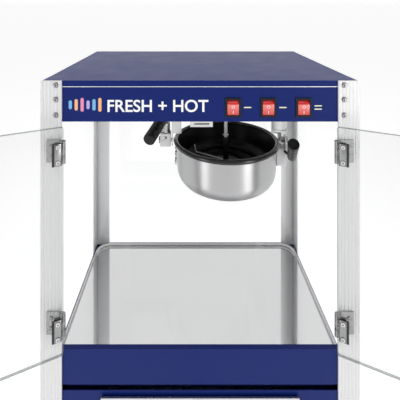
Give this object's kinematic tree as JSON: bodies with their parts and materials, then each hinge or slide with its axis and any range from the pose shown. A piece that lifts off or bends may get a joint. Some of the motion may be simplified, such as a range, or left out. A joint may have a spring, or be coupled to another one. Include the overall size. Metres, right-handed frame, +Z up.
{
  "type": "popcorn cart",
  "caption": "Glass-walled popcorn machine with tilting stirred kettle, swing doors and rocker switches on a wheeled cupboard cart.",
  "frame": {"origin": "bottom centre of the cart's box on the floor, with the doors standing open", "axes": "+X to the right as seen by the customer, -Y is the serving side, +Z up"},
  "size_m": [0.8216, 0.5676, 1.374],
  "materials": {
    "anodised_aluminium": "fine ribbed, satin anodised",
    "blue_paint": "deep blue gloss powder coat",
    "mirror_steel": "mirror polished stainless",
    "brushed_steel": "brushed stainless",
    "bright_steel": "bright plated",
    "clear_glass": "clear tempered",
    "non_stick": "black non-stick coat",
    "black_plastic": "moulded black",
    "red_rocker": "translucent red, gloss",
    "motor_grey": "grey",
    "black_rubber": "moulded rubber",
    "tyre": "solid rubber",
    "wheel_enamel": "silver enamel"
  },
  "bodies": {
    "frame": {"axle": "bright_steel", "axle_brackets": "wheel_enamel", "axle_caps": "bright_steel", "base_shell": "blue_paint", "cart_cabinet": "blue_paint", "cart_hinges": "bright_steel", "cart_shelf": "blue_paint", "cart_tray": "blue_paint", "ceiling_plate": "brushed_steel", "corner_posts": "anodised_aluminium", "deck_tray": "mirror_steel", "front_legs": "wheel_enamel", "front_sill": "blue_paint", "handle_sleeve": "black_rubber", "header_front": "blue_paint", "header_rear": "blue_paint", "header_sides": "blue_paint", "kettle_hangers": "brushed_steel", "lamp_bulb": "clear_glass", "lamp_shade": "motor_grey", "leg_feet": "black_rubber", "machine_feet": "black_rubber", "mains_inlet": "black_plastic", "post_hinges": "bright_steel", "post_screws": "bright_steel", "push_handle": "bright_steel", "rear_glass": "clear_glass", "roof": "blue_paint", "side_glass": "clear_glass", "stirring_motor": "motor_grey", "switch_housings": "black_plastic", "utensil_plate": "brushed_steel"},
    "door_left": {"door_glass_left": "clear_glass", "door_hinges_left": "bright_steel", "door_knob_left": "bright_steel"},
    "door_right": {"door_glass_right": "clear_glass", "door_hinges_right": "bright_steel", "door_knob_right": "bright_steel"},
    "drawer": {"crumb_drawer": "brushed_steel", "drawer_knob": "bright_steel"},
    "motor_rocker": {"motor_rocker": "red_rocker"},
    "heat_rocker": {"heat_rocker": "red_rocker"},
    "light_rocker": {"light_rocker": "red_rocker"},
    "drive": {"drive_shaft": "bright_steel"},
    "kettle": {"kettle_pan": "non_stick", "kettle_shell": "brushed_steel", "kettle_heater": "motor_grey", "kettle_brackets": "brushed_steel", "trunnion_pins": "bright_steel", "dump_handle_stem": "bright_steel", "dump_handle_grip": "black_plastic", "side_handle_stem": "black_plastic", "side_handle_grip": "black_plastic"},
    "stirrer": {"stirrer": "brushed_steel"},
    "cart_door": {"cart_door": "blue_paint", "cart_door_handle": "bright_steel"},
    "wheel_left": {"wheel_left": "wheel_enamel", "tyre_left": "tyre"},
    "wheel_right": {"wheel_right": "wheel_enamel", "tyre_right": "tyre"}
  },
  "joints": [
    {"name": "door_left_hinge", "type": "hinge", "parent": "frame", "child": "door_left", "pos_m": [-0.217, -0.18591, 1.128], "axis": [0, 0, 1], "range_deg": [-10, 155]},
    {"name": "door_right_hinge", "type": "hinge", "parent": "frame", "child": "door_right", "pos_m": [0.217, -0.18591, 1.128], "axis": [0, 0, 1], "range_deg": [-155, 10]},
    {"name": "drawer_slide", "type": "slide", "parent": "frame", "child": "drawer", "axis": [0, -1, 0], "range_m": [0, 0.16]},
    {"name": "drive_shaft_spin", "type": "hinge", "parent": "frame", "child": "drive", "pos_m": [0.06, -0.01221, 1.273], "axis": [0, 0, 1], "continuous": true},
    {"name": "kettle_tilt", "type": "hinge", "parent": "frame", "child": "kettle", "pos_m": [0.06, -0.01221, 1.213], "axis": [1, 0, 0], "range_deg": [0, 80]},
    {"name": "stirrer_spin", "type": "hinge", "parent": "kettle", "child": "stirrer", "pos_m": [0.06, -0.01221, 1.193], "axis": [0, 0, 1], "continuous": true},
    {"name": "cart_door_hinge", "type": "hinge", "parent": "frame", "child": "cart_door", "pos_m": [-0.229, -0.18051, 0.5], "axis": [0, 0, 1], "range_deg": [-105, 0]},
    {"name": "motor_rocker_press", "type": "hinge", "parent": "frame", "child": "motor_rocker", "pos_m": [0.053, -0.17851, 1.3307], "axis": [1, 0, 0], "range_deg": [0, 16]},
    {"name": "heat_rocker_press", "type": "hinge", "parent": "frame", "child": "heat_rocker", "pos_m": [0.1095, -0.17851, 1.3307], "axis": [1, 0, 0], "range_deg": [0, 16]},
    {"name": "light_rocker_press", "type": "hinge", "parent": "frame", "child": "light_rocker", "pos_m": [0.166, -0.17851, 1.3307], "axis": [1, 0, 0], "range_deg": [0, 16]},
    {"name": "wheel_left_spin", "type": "hinge", "parent": "frame", "child": "wheel_left", "pos_m": [-0.276, 0.06779, 0.2], "axis": [1, 0, 0], "continuous": true},
    {"name": "wheel_right_spin", "type": "hinge", "parent": "frame", "child": "wheel_right", "pos_m": [0.276, 0.06779, 0.2], "axis": [1, 0, 0], "continuous": true}
  ],
  "couplings": [
    {"joint": "drive_shaft_spin", "follows": "stirrer_spin", "ratio": 1}
  ]
}
